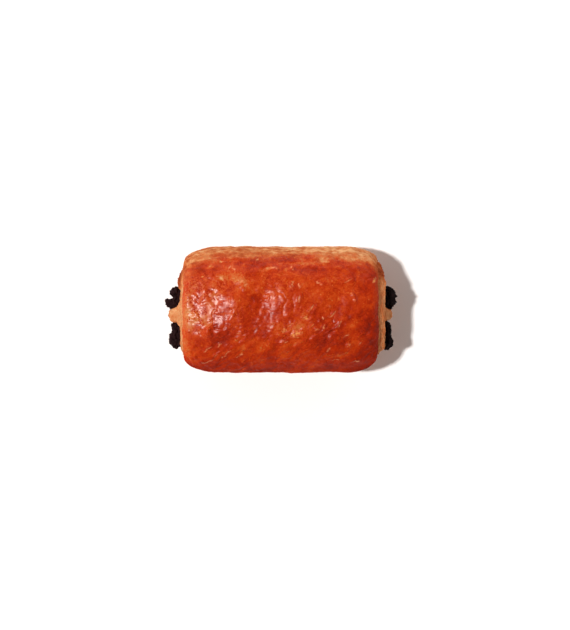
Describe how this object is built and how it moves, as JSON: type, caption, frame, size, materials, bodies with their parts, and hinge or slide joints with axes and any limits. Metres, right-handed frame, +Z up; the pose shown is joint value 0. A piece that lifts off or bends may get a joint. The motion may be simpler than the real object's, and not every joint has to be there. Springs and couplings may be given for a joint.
{
  "type": "pain au chocolat",
  "caption": "Rolled, laminated pastry with a glazed crust, and the scorched ends of its chocolate batons standing out of both cut ends.",
  "frame": {"origin": "centre of the flat underside, on the surface that the pastry rests on", "axes": "+X along the roll and its batons, +Y across the roll, to the side away from the underside seam, +Z up"},
  "size_m": [0.1196, 0.065, 0.044],
  "materials": {
    "glazed_dough": "gloss",
    "scorched_chocolate": "matte"
  },
  "bodies": {
    "root": {"pastry": "glazed_dough", "chocolate_baton_rear": "scorched_chocolate", "chocolate_baton_front": "scorched_chocolate"}
  },
  "joints": []
}
